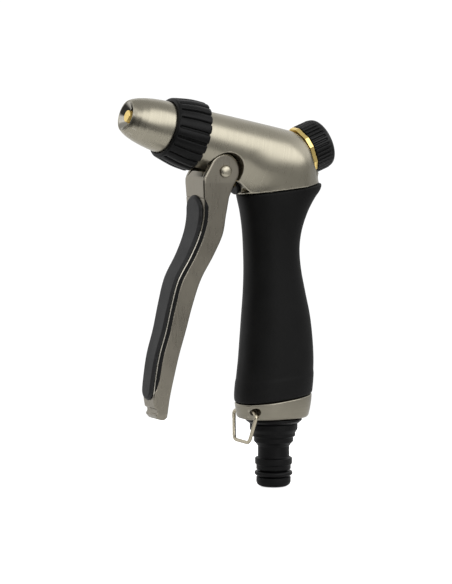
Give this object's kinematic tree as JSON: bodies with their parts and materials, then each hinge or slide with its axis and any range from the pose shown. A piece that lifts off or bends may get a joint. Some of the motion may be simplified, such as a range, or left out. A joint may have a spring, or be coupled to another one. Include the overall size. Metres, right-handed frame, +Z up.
{
  "type": "hose spray nozzle",
  "caption": "Pistol-grip hose spray nozzle with a ribbed twist nozzle, squeeze trigger with a rubber pad and wire lock bail, rear flow knob, rubber grip and a quick-connect hose tail.",
  "frame": {"origin": "centre of the tail's end face, where the hose connector ends", "axes": "+Z up along the tail and the grip, the nozzle points towards -X, symmetric about the plane Y = 0"},
  "size_m": [0.1128, 0.0344, 0.1904],
  "materials": {
    "satin_nickel": "light-alloy casting with a satin champagne-nickel plating, finely brushed",
    "satin_nickel_trim": "satin champagne-nickel plating",
    "black_rubber": "satin black, fine moulded grain",
    "grey_black_rubber": "matte dark grey",
    "black_plastic": "satin moulded",
    "brass": "bright turned",
    "stainless_steel": "bright",
    "nickel_wire": "plated wire",
    "seal_rubber": "black seal rubber",
    "white_acetal": "white acetal"
  },
  "bodies": {
    "body": {"body_casting": "satin_nickel", "grip_sleeve": "black_rubber", "end_collar": "satin_nickel_trim", "tail_connector": "black_plastic", "tail_oring": "seal_rubber", "tail_washer": "seal_rubber", "socket_oring": "seal_rubber", "pivot_rivet": "stainless_steel", "gland_nut": "black_plastic", "stem_oring": "seal_rubber", "bonnet_nut": "brass", "bonnet_oring": "seal_rubber", "spray_tip": "brass", "tip_holder": "brass", "return_spring": "stainless_steel"},
    "trigger": {"trigger_lever": "satin_nickel", "trigger_pad": "grey_black_rubber"},
    "valve": {"valve_stem": "brass", "valve_disc": "seal_rubber"},
    "bail": {"lock_bail": "nickel_wire"},
    "nozzle_carriage": {"nozzle_oring": "seal_rubber"},
    "nozzle": {"nozzle_shell": "satin_nickel", "nozzle_grip": "black_rubber"},
    "flow_control": {"flow_knob": "black_plastic", "flow_spindle": "white_acetal", "spindle_oring": "seal_rubber", "knob_screw": "stainless_steel"}
  },
  "joints": [
    {"name": "trigger_squeeze", "type": "hinge", "parent": "body", "child": "trigger", "pos_m": [-0.032, 0, 0.1554], "axis": [0, -1, 0], "range_deg": [0, 19], "stiffness_Nm_per_rad": 3, "springref_deg": -11.46},
    {"name": "valve_lift", "type": "slide", "parent": "body", "child": "valve", "axis": [0.9304, 0, 0.3665], "range_m": [0, 0.00315], "deforming": ["return_spring"]},
    {"name": "bail_swing", "type": "hinge", "parent": "body", "child": "bail", "pos_m": [-0.0156, 0, 0.0383], "axis": [0, 1, 0], "range_deg": [-16, 71]},
    {"name": "nozzle_travel", "type": "slide", "parent": "body", "child": "nozzle_carriage", "axis": [-0.9613, 0, 0.2756], "range_m": [-0.00151, 0.00151]},
    {"name": "nozzle_twist", "type": "hinge", "parent": "nozzle_carriage", "child": "nozzle", "pos_m": [-0.08, 0, 0.1822], "axis": [-0.9613, 0, 0.2756], "range_deg": [-180, 180]},
    {"name": "flow_turn", "type": "hinge", "parent": "body", "child": "flow_control", "pos_m": [0.0139, 0, 0.16335], "axis": [0.9304, 0, 0.3665], "range_deg": [-180, 0]}
  ],
  "couplings": [
    {"joint": "valve_lift", "follows": "trigger_squeeze", "m_per_rad": 0.0093825},
    {"joint": "nozzle_travel", "follows": "nozzle_twist", "m_per_rad": 0.00047746}
  ]
}
